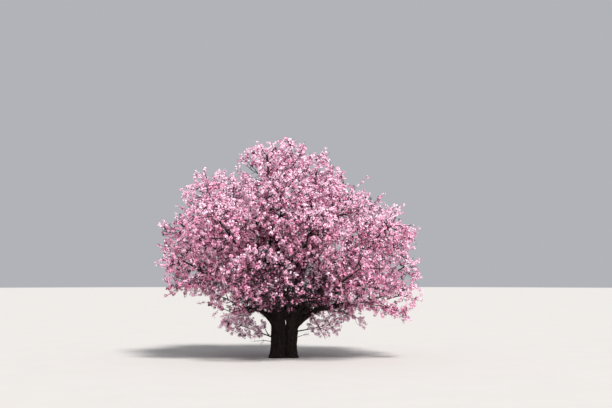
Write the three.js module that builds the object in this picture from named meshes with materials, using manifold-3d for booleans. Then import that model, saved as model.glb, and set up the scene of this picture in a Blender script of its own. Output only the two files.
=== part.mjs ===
// A cherry blossom tree in full flower, at its real size in millimetres. +Z is up, +X is its right and -Y
// its front, and the origin is in the middle of the flat cut at ground level. The trunk is three stems in
// one root flare, and each stem runs on as a leader into the top of the crown. Boughs leave the leaders
// for the other masses of blossom, which stand in tiers round them. A mass is one stem with its twigs,
// and the twigs swell into tufts of blossom.
import * as THREE from 'three';
import { mergeVertices } from 'three/addons/utils/BufferGeometryUtils.js';
import Module from 'manifold-3d';

const wasm = await Module();
wasm.setup();

// The gap where two pieces meet, and the room round a limb and beside a neighbouring mass.
const CLEARANCE = 0.3;
const LIMB_ROOM = 12;
const SPACE_ROOM = 6;

// The stems of the trunk: the middle of each foot, and its radius there and at its leader's tip.
const STEMS = [
  { name: 'right', foot: [226, -20], radius: 206, tip: 58 },
  { name: 'back', foot: [-190, 230], radius: 196, tip: 56 },
  { name: 'left', foot: [-240, -40], radius: 258, tip: 62 },
];
const STEM_TOP = 1520;
const STEM_START = -80;
const LEADER_OVERLAP = 20;
const STEM_SIDES = 12;
const STEM_RINGS = 6;

// The bole fills the middle of the stems up to the slit between them.
const BOLE_FOOT = [-40, 50, STEM_START];
const BOLE_TOP = [-46, 58, 470];
const BOLE_RADIUS = [290, 170];
const BOLE_RINGS = 2;

// The root flare at the ground, the height in which it fades, and its ridges.
const FLARE = 0.34;
const FLARE_HEIGHT = 210;
const FLARE_RIDGES = 4;
const RIDGE_SHARE = 0.45;
const RIDGE_TURN = 1.9;

// How leaders and boughs bend, fork, taper and sway. The stems lean together at the foot before they part
// into leaders. A limb ends at the share ENTRY of its mass's radius.
const LEADER_PULL = [0.4, 0.3];
const LEADER_LEAN = 2.5;
const LEADER_RISE = 86;
const LEADER_TAPER = 1.5;
const LEADER_RINGS = 8;
const BOUGH_PULL = 0.36;
const BOUGH_SWAY = 0.07;
const BOUGH_SIDES = 6;
const BOUGH_RINGS = 5;
const FORK_SPREAD = 150;
const ENTRY = 0.62;
const LIMB_PIECES = 12;

// Tiers of masses from the ground up. left, right and depth are how far the crown's edge is from the
// trunk's middle. tilt lowers a tier on its right, and arch raises it in front and behind. out, side and
// up are half a mass's size. A bough leaves its leader at the height fork with the slope rise, and enters
// its mass with the slope heading, in degrees. bough is its radii, and tuft the size of the mass's tufts
// as a share of the largest.
const TIERS = [
  {
    name: 'skirt', count: 5, turn: 54, height: 2010, left: 3150, right: 4930, depth: 3700, tilt: 0, arch: 420,
    out: 1360, side: 1240, up: 820, heading: -4, fork: 1080, rise: 50, bough: [112, 34],
    twigs: 9, tuft: 0.8, pink: 0xb8799a,
  },
  {
    name: 'low', count: 7, turn: 0, height: 3120, left: 4540, right: 5180, depth: 4480, tilt: 0.03,
    out: 1480, side: 1600, up: 1080, heading: 12, fork: 1500, rise: 42, bough: [112, 40],
    twigs: 10, tuft: 1, pink: 0xc98aa8,
  },
  {
    name: 'middle', count: 7, turn: 26, height: 4500, left: 4860, right: 4820, depth: 4380, tilt: 0.035,
    out: 1480, side: 1640, up: 1120, heading: 30, fork: 2080, rise: 50, bough: [90, 38],
    twigs: 10, tuft: 1, pink: 0xd998b5,
  },
  {
    name: 'shoulder', count: 5, turn: -20, height: 5600, left: 3820, right: 3600, depth: 3680, tilt: 0.02,
    out: 1420, side: 1640, up: 1150, heading: 44, fork: 2800, rise: 60, bough: [72, 34],
    twigs: 9, tuft: 1, pink: 0xe6a9c3,
  },
  {
    name: 'top', count: 3, turn: 0, height: 6700, left: 1760, right: 2300, depth: 2400, tilt: 0.055,
    out: 1200, side: 1400, up: 980, heading: 66,
    twigs: 9, tuft: 0.95, pink: 0xeeb6cd,
  },
  {
    name: 'crest', count: 1, turn: 0, height: 7400, left: 500, right: 900, depth: 700, tilt: 0,
    out: 700, side: 800, up: 700, heading: 80, fork: 4550, rise: 78, bough: [50, 30],
    twigs: 7, tuft: 0.8, pink: 0xf0bcd2,
  },
];
const HEIGHT_SPREAD = 130;

// Shoots low on the trunk: the stem that each leaves, its height there, and its blossom's middle and
// half size.
const SHOOTS = [
  { name: 'shoot_left', stem: 2, fork: 640, centre: [-1330, -200, 1080], size: [800, 560, 430] },
  { name: 'shoot_right', stem: 0, fork: 900, centre: [1440, -280, 1150], size: [680, 500, 420] },
];
const SHOOT_RADIUS = 26;
const SHOOT_HEADING = 10;
const SHOOT_TWIGS = 6;
const SHOOT_TUFT = 0.5;
const SHOOT_PINK = 0xb8799a;

// A mass's stem: how far past the middle it reaches, as a share of the mass's radius, and its taper.
const STEM_REACH = 0.42;
const STEM_UPTURN = 8;
const STEM_PULL = 0.33;
const STEM_TAPER = [0.94, 0.5];
const MASS_STEM_RINGS = 2;

// Twigs leave the stem at the fork angle, for tips spread evenly over the mass, and turn up.
const TWIG_FORK = 52;
const TWIG_WIDEST = 118;
const TWIG_PLACES = [0.1, 0.96];
const TWIG_RADIUS = [17, 9];
const TWIG_PULL = 0.3;
const TWIG_UPTURN = 0.45;
const TWIG_REACH = 0.985;
const WALL_REACH = 0.92;
const TWIG_SIDES = 4;
const MOST_TIPS = 6;

// A tuft of blossom is a swelling of its twig, one at the tip and one behind it where there is room.
const TUFT_LENGTH = 820;
const TUFT_RADIUS = 320;
const TUFT_WIDEST = 0.45;
const TUFT_APART = 360;
const INNER_TUFT = 0.8;
const LEAST_TUFT = 0.6;
const INNER_START = 0.08;

const BARK = { name: 'bark', color: 0x2e2622, roughness: 0.92 };
const BLOSSOM_ROUGHNESS = 0.8;

const SEED = 20250421;
const GROUND_SIZE = 4000;
const HALVINGS = 30;
const GOLDEN_ANGLE = Math.PI * (3 - Math.sqrt(5));
const UP = new THREE.Vector3(0, 0, 1);

// A seeded stream of numbers from 0 to 1.
function seededStream(seed) {
  let state = seed >>> 0;
  return () => {
    state = (Math.imul(state, 1664525) + 1013904223) >>> 0;
    return state / 4294967296;
  };
}

function level(vector) {
  return new THREE.Vector3(vector.x, vector.y, 0).normalize();
}

// The direction that points out along a horizontal direction and rises by an angle in degrees.
function rising(outward, angle) {
  const slope = THREE.MathUtils.degToRad(angle);
  return outward.clone().multiplyScalar(Math.cos(slope)).addScaledVector(UP, Math.sin(slope));
}

// A curve that leaves one point in one direction and reaches another point in another. pull and endPull
// say how long it keeps to each direction, as shares of the distance.
function bend(start, startWay, end, endWay, pull, endPull = pull) {
  const distance = start.distanceTo(end);
  return new THREE.CubicBezierCurve3(
    start,
    start.clone().addScaledVector(startWay, distance * pull),
    end.clone().addScaledVector(endWay, -distance * endPull),
    end,
  );
}

// A closed geometry as a solid, and a solid as a geometry.
function toSolid(geometry) {
  const bare = geometry.clone();
  bare.deleteAttribute('normal');
  bare.deleteAttribute('uv');
  const merged = mergeVertices(bare, 1e-3);
  return new wasm.Manifold(new wasm.Mesh({
    numProp: 3,
    vertProperties: merged.getAttribute('position').array,
    triVerts: new Uint32Array(merged.index.array),
  }));
}

function toGeometry(solid) {
  const mesh = solid.getMesh();
  const geometry = new THREE.BufferGeometry();
  geometry.setAttribute('position', new THREE.BufferAttribute(mesh.vertProperties, 3));
  geometry.setIndex(new THREE.BufferAttribute(mesh.triVerts, 1));
  geometry.computeVertexNormals();
  return geometry;
}

// The solid's largest body, without loose scraps and with any sealed hollow filled.
function largestBody(solid) {
  return solid.decompose().reduce((best, body) => (body.volume() > best.volume() ? body : best));
}

function joined(solids) {
  return solids.reduce((sum, solid) => sum.add(solid));
}

// A closed tube along a curve. rings gives the share of the curve and the radius of each ring, and a
// radius of 0 at the end is a point. swell can widen a ring by its height and the angle round it.
function tube(curve, rings, sides, swell = () => 1) {
  const pointed = rings.at(-1).radius === 0;
  const geometry = new THREE.CylinderGeometry(pointed ? 0 : 1, 1, 1, sides, rings.length - 1);
  const position = geometry.getAttribute('position');
  const sideways = new THREE.Vector3().crossVectors(UP, level(curve.v3.clone().sub(curve.v0)));
  for (let i = 0; i < position.count; i += 1) {
    const ring = rings[Math.round((position.getY(i) + 0.5) * (rings.length - 1))];
    const tangent = curve.getTangent(ring.share);
    const point = curve.getPoint(ring.share).addScaledVector(tangent, ring.beyond ?? 0);
    const across = sideways.clone().projectOnPlane(tangent).normalize();
    const other = new THREE.Vector3().crossVectors(across, tangent);
    const offset = Math.hypot(position.getX(i), position.getZ(i));
    if (offset > 0) {
      const angle = Math.atan2(position.getZ(i), position.getX(i));
      const radius = ring.radius * swell(point.z, angle);
      point.addScaledVector(across, radius * Math.cos(angle));
      point.addScaledVector(other, radius * Math.sin(angle));
    }
    position.setXYZ(i, point.x, point.y, point.z);
  }
  return geometry;
}

// The radius of a limb at a share of its curve. A taper over 1 keeps it thick near its start.
function radiusAt(limb, share) {
  return THREE.MathUtils.lerp(limb.radius[0], limb.radius[1], share ** (limb.taper ?? 1));
}

// A limb is a curve with a radius at its start and its tip. Part of it becomes a solid with flat ends,
// which grow makes thicker and as much longer.
function limbSolid(limb, from, to, count, grow = 0) {
  const rings = Array.from({ length: count + 1 }, (_, i) => {
    const share = THREE.MathUtils.lerp(from, to, i / count);
    return {
      share,
      radius: radiusAt(limb, share) + grow,
      beyond: i === count ? grow : 0,
    };
  });
  return toSolid(tube(limb.curve, rings, limb.sides, limb.swell));
}

// The root flare of a stem, with its ridges turned by phase.
function rootFlare(phase) {
  return (height, angle) => {
    const fade = Math.exp(-Math.max(height, 0) / FLARE_HEIGHT);
    return 1 + FLARE * fade * (1 + RIDGE_SHARE * Math.cos(FLARE_RIDGES * angle + phase));
  };
}

// The share of a limb's curve at which it passes a height.
function shareAtHeight(limb, height) {
  let low = 0;
  let high = 1;
  for (let i = 0; i < HALVINGS; i += 1) {
    const middle = (low + high) / 2;
    if (limb.curve.getPoint(middle).z < height) low = middle;
    else high = middle;
  }
  return low;
}

// A mass's space is an ellipsoid whose axes point out from the trunk, sideways and up.
function makeMass(name, centre, size, settings) {
  const outward = level(centre);
  const axes = [outward, new THREE.Vector3().crossVectors(UP, outward), UP];
  return { name, centre, size, axes, walls: [], ...settings };
}

// The masses of a tier stand evenly round the trunk, and the outermost reach the crown's edge.
function tierMasses(tier, random) {
  const angles = Array.from({ length: tier.count }, (_, i) => (
    THREE.MathUtils.degToRad(tier.turn + (i * 360) / tier.count)
  ));
  const farRight = Math.max(...angles.map((angle) => Math.cos(angle)));
  const farLeft = Math.max(...angles.map((angle) => -Math.cos(angle)));
  return angles.map((angle, i) => {
    const onRight = Math.cos(angle) > 0;
    const reach = onRight ? (tier.right - tier.out) / farRight : (tier.left - tier.out) / farLeft;
    const lift = (2 * random() - 1) * HEIGHT_SPREAD;
    const centre = new THREE.Vector3(
      reach * Math.cos(angle),
      (tier.depth - tier.out) * Math.sin(angle),
      tier.height + (tier.fork && tier.count > 1 ? lift : 0),
    );
    centre.z += (tier.arch ?? 0) * Math.abs(Math.sin(angle)) - tier.tilt * centre.x;
    const size = [tier.out, tier.side, tier.up];
    return makeMass(`${tier.name}_${i + 1}`, centre, size, {
      heading: tier.heading, twigs: tier.twigs, tuft: tier.tuft, pink: tier.pink,
    });
  });
}

// How far a mass's ellipsoid reaches from its middle in a direction.
function reachOf(mass, way) {
  return 1 / Math.hypot(...mass.axes.map((axis, i) => axis.dot(way) / mass.size[i]));
}

// A flat wall parts each two masses, so that their spaces can't meet.
function partSpaces(masses) {
  masses.forEach((mass) => {
    masses.filter((other) => other !== mass).forEach((other) => {
      const normal = other.centre.clone().sub(mass.centre);
      const distance = normal.length();
      normal.normalize();
      const own = reachOf(mass, normal);
      const place = (distance * own) / (own + reachOf(other, normal));
      mass.walls.push({ normal, limit: mass.centre.dot(normal) + place - SPACE_ROOM });
    });
  });
}

function insideSpace(mass, point) {
  const offset = point.clone().sub(mass.centre);
  const inside = Math.hypot(...mass.axes.map((axis, i) => axis.dot(offset) / mass.size[i])) < 1;
  return inside && mass.walls.every((wall) => wall.normal.dot(point) < wall.limit);
}

// The leader of each stem: from its foot, leaning in a little at first, into its mass in the top tier.
function makeLeader(stem, mass, phase) {
  const foot = new THREE.Vector3(...stem.foot, STEM_START);
  const footWay = rising(mass.axes[0], 90 + LEADER_LEAN);
  const way = rising(mass.axes[0], LEADER_RISE);
  const entry = mass.centre.clone().addScaledVector(way, -ENTRY * reachOf(mass, way));
  mass.entry = { point: entry, way, radius: stem.tip };
  return {
    name: `leader_${stem.name}`,
    curve: bend(foot, footWay, entry, way, ...LEADER_PULL),
    radius: [stem.radius, stem.tip],
    taper: LEADER_TAPER,
    sides: STEM_SIDES,
    swell: rootFlare(phase),
  };
}

// The leader that lies furthest in a mass's direction at a height.
function nearestLeader(leaders, mass, height) {
  const along = (leader) => leader.curve.getPoint(shareAtHeight(leader, height)).dot(mass.axes[0]);
  return leaders.reduce((best, leader) => (along(leader) > along(best) ? leader : best));
}

// A bough from its leader out to its mass, swaying a little to one side.
function makeBough(tier, mass, index, leaders, random) {
  const fork = tier.fork + (index % 2 ? FORK_SPREAD : -FORK_SPREAD) * random();
  const leader = nearestLeader(leaders, mass, fork);
  const start = leader.curve.getPoint(shareAtHeight(leader, fork));
  const inward = mass.centre.clone().sub(start).normalize();
  const outward = level(inward);
  const entry = mass.centre.clone().addScaledVector(inward, -ENTRY * reachOf(mass, inward));
  const curve = bend(start, rising(outward, tier.rise), entry, rising(outward, mass.heading), BOUGH_PULL);
  const sway = (2 * random() - 1) * BOUGH_SWAY * start.distanceTo(entry);
  const sideways = new THREE.Vector3().crossVectors(UP, outward);
  curve.v1.addScaledVector(sideways, sway);
  curve.v2.addScaledVector(sideways, -sway);
  mass.entry = { point: entry, way: curve.getTangent(1), radius: tier.bough[1] };
  return { name: `bough_${mass.name}`, curve, radius: tier.bough, sides: BOUGH_SIDES };
}

// A limb as straight pieces, for finding how near a twig comes to it.
function limbPieces(limb) {
  return Array.from({ length: LIMB_PIECES }, (_, i) => ({
    line: new THREE.Line3(limb.curve.getPoint(i / LIMB_PIECES), limb.curve.getPoint((i + 1) / LIMB_PIECES)),
    radius: radiusAt(limb, i / LIMB_PIECES),
  }));
}

function clearOf(line, radius, pieces) {
  return pieces.every((piece) => {
    const room = radius + piece.radius + LIMB_ROOM;
    return line.distanceSqToLine3(piece.line) > room * room;
  });
}

// The stem of a mass goes on from its bough's tip past the middle of the mass.
function makeStem(mass) {
  const start = mass.entry.point.clone().addScaledVector(mass.entry.way, CLEARANCE);
  const endWay = rising(mass.axes[0], mass.heading + STEM_UPTURN);
  const end = mass.centre.clone().addScaledVector(endWay, STEM_REACH * reachOf(mass, endWay));
  return {
    curve: bend(start, mass.entry.way, end, endWay, STEM_PULL),
    radius: STEM_TAPER.map((share) => share * mass.entry.radius),
    sides: TWIG_SIDES,
  };
}

// The tips that a mass's twigs reach for, spread evenly over its space on a golden spiral. A tip that
// would pass a wall stops short of it.
function spreadTips(mass, count, phase) {
  return Array.from({ length: count }, (_, i) => {
    const height = 1 - (2 * i + 1) / count;
    const ring = Math.sqrt(1 - height * height);
    const angle = i * GOLDEN_ANGLE + phase;
    const shares = [ring * Math.cos(angle), ring * Math.sin(angle), height];
    const way = new THREE.Vector3();
    mass.axes.forEach((axis, k) => way.addScaledVector(axis, shares[k] * mass.size[k]));
    const reach = mass.walls.reduce((least, wall) => {
      const ahead = wall.normal.dot(way);
      const room = wall.limit - wall.normal.dot(mass.centre);
      return ahead > 0 ? Math.min(least, (WALL_REACH * room) / ahead) : least;
    }, TWIG_REACH);
    return mass.centre.clone().addScaledVector(way, reach);
  });
}

// A twig leaves the stem where it makes the fork angle with it.
function forkFor(stem, tip) {
  const start = stem.curve.v0;
  const chord = stem.curve.v3.clone().sub(start);
  const offset = tip.clone().sub(start);
  const ahead = offset.dot(chord) / chord.length();
  const aside = Math.sqrt(Math.max(offset.lengthSq() - ahead * ahead, 0));
  const share = (ahead - aside / Math.tan(THREE.MathUtils.degToRad(TWIG_FORK))) / chord.length();
  return stem.curve.getPoint(THREE.MathUtils.clamp(share, ...TWIG_PLACES));
}

// The rings of one tuft that ends a given distance before the twig's tip: its neck and its widest place.
function tuftRings(length, behind, scale) {
  const tuft = TUFT_LENGTH * scale;
  return [
    { share: 1 - (behind + tuft) / length, radius: TWIG_RADIUS[1] },
    { share: 1 - (behind + tuft * TUFT_WIDEST) / length, radius: TUFT_RADIUS * scale },
  ];
}

// A twig with its tufts, or nothing where it would leave its space or touch a limb or another tuft.
function growTwig(mass, stem, tip, limbs, tufts) {
  const fork = forkFor(stem, tip);
  const way = tip.clone().sub(fork).normalize();
  const heading = stem.curve.v3.clone().sub(stem.curve.v0).normalize();
  if (way.dot(heading) < Math.cos(THREE.MathUtils.degToRad(TWIG_WIDEST))) return null;
  const endWay = way.clone().addScaledVector(UP, TWIG_UPTURN).normalize();
  const curve = bend(fork, way, tip, endWay, TWIG_PULL);
  const length = curve.getLength();
  const scale = Math.min(mass.tuft, (length - 2 * TWIG_RADIUS[0]) / TUFT_LENGTH);
  const part = (rings) => ({
    line: new THREE.Line3(curve.getPoint(rings[0].share), curve.getPoint(rings[1].share)),
    radius: rings[1].radius,
  });
  const apart = TUFT_APART * mass.tuft;
  const fits = (piece) => clearOf(piece.line, piece.radius, limbs)
    && tufts.every((other) => piece.line.distanceSqToLine3(other.line) > apart * apart);
  const outer = tuftRings(length, 0, scale);
  const inner = tuftRings(length, TUFT_LENGTH * scale, INNER_TUFT * mass.tuft);
  const outerPart = part(outer);
  if (scale < LEAST_TUFT * mass.tuft || !fits(outerPart)) return null;
  if (!clearOf(new THREE.Line3(fork, outerPart.line.start), TWIG_RADIUS[0], limbs)) return null;
  const rings = [{ share: 0, radius: TWIG_RADIUS[0] }, ...outer, { share: 1, radius: 0 }];
  const found = [outerPart];
  if (inner[0].share > INNER_START && fits(part(inner))) {
    rings.splice(1, 0, ...inner);
    found.push(part(inner));
  }
  const geometry = tube(curve, rings, TWIG_SIDES);
  const corners = geometry.getAttribute('position');
  for (let i = 0; i < corners.count; i += 1) {
    if (!insideSpace(mass, new THREE.Vector3().fromBufferAttribute(corners, i))) return null;
  }
  return { geometry, found };
}

// The twigs of one mass. More tips are tried until the mass has its number of twigs.
function growTwigs(mass, stem, limbs, random) {
  const phase = random() * 2 * Math.PI;
  let best = [];
  for (let count = mass.twigs; count <= mass.twigs * MOST_TIPS && best.length < mass.twigs; count += 1) {
    const tufts = [];
    const twigs = [];
    spreadTips(mass, count, phase).forEach((tip) => {
      const twig = growTwig(mass, stem, tip, limbs, tufts);
      if (!twig) return;
      tufts.push(...twig.found);
      twigs.push(toSolid(twig.geometry));
    });
    if (twigs.length > best.length) best = twigs;
  }
  return best;
}

function addMesh(group, name, look, solid) {
  const material = new THREE.MeshStandardMaterial({ metalness: 0, ...look });
  const mesh = new THREE.Mesh(toGeometry(solid), material);
  mesh.name = name;
  group.add(mesh);
}

// The trunk up to where its leaders start, cut flat at the ground.
function trunkSolid(leaders, grow) {
  const stems = leaders.map((leader) => (
    limbSolid(leader, 0, shareAtHeight(leader, STEM_TOP), STEM_RINGS, grow)
  ));
  const curve = bend(new THREE.Vector3(...BOLE_FOOT), UP, new THREE.Vector3(...BOLE_TOP), UP, STEM_PULL);
  const bole = { curve, radius: BOLE_RADIUS, sides: STEM_SIDES };
  const below = new THREE.BoxGeometry(GROUND_SIZE, GROUND_SIZE, GROUND_SIZE);
  below.translate(0, 0, -GROUND_SIZE / 2);
  return joined([...stems, limbSolid(bole, 0, 1, BOLE_RINGS, grow)]).subtract(toSolid(below));
}

// A shoot's stem starts inside the trunk, which is then cut from it.
function makeShoot(shoot, leaders) {
  const leader = leaders[shoot.stem];
  const start = leader.curve.getPoint(shareAtHeight(leader, shoot.fork));
  const centre = new THREE.Vector3(...shoot.centre);
  const mass = makeMass(shoot.name, centre, shoot.size, {
    heading: SHOOT_HEADING, twigs: SHOOT_TWIGS, tuft: SHOOT_TUFT, pink: SHOOT_PINK, fromTrunk: true,
  });
  mass.entry = { point: start, way: centre.clone().sub(start).normalize(), radius: SHOOT_RADIUS };
  return mass;
}

function makeTree() {
  const random = seededStream(SEED);
  const tiers = TIERS.map((tier) => ({ tier, masses: tierMasses(tier, random) }));
  const tops = tiers.find(({ tier }) => !tier.fork).masses;
  const leaders = STEMS.map((stem, i) => makeLeader(stem, tops[i], i * RIDGE_TURN));
  const boughs = tiers.filter(({ tier }) => tier.fork).flatMap(({ tier, masses }) => (
    masses.map((mass, i) => makeBough(tier, mass, i, leaders, random))
  ));
  const shoots = SHOOTS.map((shoot) => makeShoot(shoot, leaders));
  const masses = [...tiers.flatMap((entry) => entry.masses), ...shoots];
  partSpaces(masses);

  const tree = new THREE.Group();
  addMesh(tree, 'trunk', BARK, largestBody(trunkSolid(leaders, 0)));

  // Each limb is cut clear of the trunk and of the limbs before it.
  let fixed = trunkSolid(leaders, CLEARANCE);
  const addLimb = (limb, from, rings) => {
    addMesh(tree, limb.name, BARK, largestBody(limbSolid(limb, from, 1, rings).subtract(fixed)));
    fixed = fixed.add(limbSolid(limb, from, 1, rings, CLEARANCE));
  };
  leaders.forEach((leader) => {
    addLimb(leader, shareAtHeight(leader, STEM_TOP - LEADER_OVERLAP), LEADER_RINGS);
  });
  boughs.forEach((bough) => addLimb(bough, 0, BOUGH_RINGS));

  const limbs = [...leaders, ...boughs].flatMap(limbPieces);
  masses.forEach((mass) => {
    const stem = makeStem(mass);
    const twigs = growTwigs(mass, stem, limbs, random);
    const body = joined([limbSolid(stem, 0, 1, MASS_STEM_RINGS), ...twigs]);
    const look = { name: mass.name, color: mass.pink, roughness: BLOSSOM_ROUGHNESS };
    addMesh(tree, `blossom_${mass.name}`, look, largestBody(mass.fromTrunk ? body.subtract(fixed) : body));
  });
  return tree;
}

export default makeTree();
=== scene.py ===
"""Bark, twigs and blossom for a cherry tree in full flower.

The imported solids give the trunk, stems and boughs, and masses of tufts. This script grows the same limbs
from the same named sizes and the same seeded stream, carries each mass on to finer twigs, and sets
flowers along them. Lengths are in millimetres until a mesh is made, which is in metres.
"""

import functools
import math
from collections import namedtuple
from dataclasses import dataclass

import bmesh
import bpy
import numpy as np
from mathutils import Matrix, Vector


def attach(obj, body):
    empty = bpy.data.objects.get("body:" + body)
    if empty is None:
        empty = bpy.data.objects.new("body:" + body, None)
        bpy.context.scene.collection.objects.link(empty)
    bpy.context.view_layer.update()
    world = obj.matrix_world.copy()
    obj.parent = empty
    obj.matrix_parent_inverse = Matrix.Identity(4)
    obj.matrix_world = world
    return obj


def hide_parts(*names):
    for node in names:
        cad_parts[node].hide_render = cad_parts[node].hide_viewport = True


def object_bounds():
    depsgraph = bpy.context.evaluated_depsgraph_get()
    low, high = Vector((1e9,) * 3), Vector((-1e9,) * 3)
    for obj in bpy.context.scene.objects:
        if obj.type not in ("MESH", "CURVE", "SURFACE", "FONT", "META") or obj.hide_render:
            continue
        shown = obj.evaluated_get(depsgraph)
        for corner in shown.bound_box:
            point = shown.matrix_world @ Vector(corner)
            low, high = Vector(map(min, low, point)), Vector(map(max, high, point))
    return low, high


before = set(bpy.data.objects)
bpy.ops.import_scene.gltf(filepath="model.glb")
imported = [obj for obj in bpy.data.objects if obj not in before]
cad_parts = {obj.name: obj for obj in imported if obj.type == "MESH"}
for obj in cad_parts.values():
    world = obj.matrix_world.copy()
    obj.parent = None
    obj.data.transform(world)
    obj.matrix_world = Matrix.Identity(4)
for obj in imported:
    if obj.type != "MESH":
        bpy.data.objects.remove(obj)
CAD_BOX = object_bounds()

bl_info = {
    "name": "Cherry blossom tree",
    "version": (1, 0, 0),
    "blender": (4, 5, 0),
    "location": "3D View > Sidebar > Cherry tree",
    "description": "Bark, twigs and blossom on the packed limbs of a cherry tree",
    "category": "Object",
}

# The limbs and masses, as the source of the solids has them. First the stems: the place of each foot, and
# the radii at the foot and at the tip.
Stem = namedtuple("Stem", "name foot radius")
STEMS = (
    Stem("right", (226, -20), (206, 58)),
    Stem("back", (-190, 230), (196, 56)),
    Stem("left", (-240, -40), (258, 62)),
)
STEM_START = -80

# The stock that the stems share at the foot, the flare at the ground, and how leaders and boughs run.
BOLE_FOOT = (-40, 50, STEM_START)
BOLE_TOP = (-46, 58, 470)
BOLE_RADIUS = (290, 170)
FLARE = 0.34
FLARE_HEIGHT = 210
FLARE_RIDGES = 4
RIDGE_SHARE = 0.45
RIDGE_TURN = 1.9
LEADER_PULL = (0.4, 0.3)
LEADER_LEAN = 2.5
LEADER_RISE = 86
LEADER_TAPER = 1.5
BOUGH_PULL = 0.36
BOUGH_SWAY = 0.07
FORK_SPREAD = 150
ENTRY = 0.62
CLEARANCE = 0.3
SPACE_ROOM = 6

# The tiers of masses: how many there are and how far round the trunk the first one stands, the height of
# their middles, how far they reach to the left, to the right and in depth, how much they sink per
# millimetre to the right, a mass's half sizes out, sideways and up, and its heading. Then the height at
# which the boughs fork, how steeply they leave, their radii, and how much higher the masses in front and
# behind stand.
Tier = namedtuple(
    "Tier", "name count turn height left right depth tilt size heading fork rise bough arch",
    defaults=(None, None, None, 0),
)
TIERS = (
    Tier("skirt", 5, 54, 2010, 3150, 4930, 3700, 0, (1360, 1240, 820), -4, 1080, 50, (112, 34), 420),
    Tier("low", 7, 0, 3120, 4540, 5180, 4480, 0.03, (1480, 1600, 1080), 12, 1500, 42, (112, 40)),
    Tier("middle", 7, 26, 4500, 4860, 4820, 4380, 0.035, (1480, 1640, 1120), 30, 2080, 50, (90, 38)),
    Tier("shoulder", 5, -20, 5600, 3820, 3600, 3680, 0.02, (1420, 1640, 1150), 44, 2800, 60, (72, 34)),
    Tier("top", 3, 0, 6700, 1760, 2300, 2400, 0.055, (1200, 1400, 980), 66),
    Tier("crest", 1, 0, 7400, 500, 900, 700, 0, (700, 800, 700), 80, 4550, 78, (50, 30)),
)
HEIGHT_SPREAD = 130

# The shoots low on the trunk: the stem and the height at which each starts, and its middle and half sizes.
Shoot = namedtuple("Shoot", "name stem fork centre size")
SHOOTS = (
    Shoot("shoot_left", 2, 640, (-1330, -200, 1080), (800, 560, 430)),
    Shoot("shoot_right", 0, 900, (1440, -280, 1150), (680, 500, 420)),
)
SHOOT_RADIUS = 26
SHOOT_HEADING = 10

# The stem of a mass and its twigs, the seeded stream, and the steps of the curves.
STEM_REACH = 0.42
STEM_UPTURN = 8
STEM_PULL = 0.33
STEM_TAPER = (0.94, 0.5)
TWIG_FORK = 52
TWIG_PLACES = (0.1, 0.96)
TWIG_PULL = 0.3
SEED = 20250421
STREAM_FACTOR = 1664525
STREAM_STEP = 1013904223
STREAM_SIZE = 2**32
HALVINGS = 30
CHORDS = 240
GOLDEN_ANGLE = math.pi * (3 - math.sqrt(5))

# Directions, the share of up past which one counts as steep, metres in a millimetre, and small numbers.
X_WAY = np.array((1.0, 0.0, 0.0))
UP = np.array((0.0, 0.0, 1.0))
STEEP = 0.9
MM = 0.001
TINY = 1e-12
NEAR = 1e-6

# The trunk, the leaders up to the height FUSED_TOP and the boughs that start under it are one skin. Other
# surfaces start inside it, and each end sinks by the share SINK over SINK_LENGTH. The grids are the points
# around and along a limb.
FUSED_TOP = 3300
FUSED_ROOM = 250
FUSED_LENGTH = 700
SOFTENING = 4
GROUND_DEPTH = 40
SINK = 0.14
SINK_LENGTH = 130
COLLAR = 0.32
COLLAR_LENGTH = 190
DRAFT_GRID = (40, 60)
LEADER_GRID = (40, 110)
BOUGH_GRID = (20, 64)
SPUR_GRID = (14, 30)
LIMB_SAMPLES = 40
LIMB_GRAIN = 7000
SEARCH_POINTS = 4000

# The bark's relief: the grain of its noise across and along a limb, the step of the bands, the numbers that
# mix up a corner of the noise's lattice, the shares of the fine ridges and of the bands, the level, and the
# radii at which the ridges and the flutes are full.
RIDGE_GRAIN = (46, 46, 210)
FINE_GRAIN = (19, 19, 70)
BAND_GRAIN = (95, 95, 13)
FLUTE_GRAIN = (130, 130, 900)
SWELLING_GRAIN = (210, 210, 300)
BAND_STEP = (4, 2.4)
NOISE_FACTORS = (73856093, 19349663, 83492791)
NOISE_SEED_FACTOR = 2654435761
NOISE_MIX = 1274126177
FINE_SHARE = 0.4
BAND_SHARE = 0.28
RELIEF_LEVEL = 0.9
RIDGE_RADIUS = 120
RIDGE_LEAST = 0.12
FLUTE_RADIUS = 200
FLUTE = 0.42
SWELLING = 0.14

# The levels of twigs in a mass, from its stem out: how many for a mass of the mean size, how many more
# round the limb that leads to it, where their tips lie between its middle and its edge, their radii, how
# much they turn up, and the sides and rings of their tubes.
Level = namedtuple("Level", "count inner shares radius upturn sides rings")
LEVELS = (
    Level(12, 5, (0.78, 0.9), (19, 8), 0.45, 5, 6),
    Level(54, 24, (0.58, 0.93), (9.5, 4), 0.35, 3, 4),
    Level(200, 80, (0.42, 0.99), (5, 2.4), 0.2, 3, 3),
)
STEM_TUBE = (8, 12)
TRAIL_TUBE = (6, 14)
TUBE_TIP = 2
MEAN_SPACE = (1400, 1550, 1040)
SIZE_POWER = 0.75
LEAST_TWIGS = 5
WALL_REACH = 0.99
TIP_POWER = 0.6
TWIG_SWAY = 0.06
LIMB_PLACES = (0.22, 0.98)
BOX_ROOM = 90

# The twigs round a limb: where along it they start, how far they stand off it at that place and at its
# tip, how much of that goes upwards, and the height under which there are none, in front of the trunk,
# behind it and far to the right.
INNER_START = 0.3
INNER_REACH = (380, 950)
INNER_LIFT = 0.15
INNER_FLOOR = 1700
INNER_FLOOR_BEHIND = 1480
INNER_FLOOR_RIGHT = 1270
INNER_RIGHT = 820
LEADER_START = 0.25
LEADER_SHARE = 1.7
INNER_EDGE = 0.74

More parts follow.
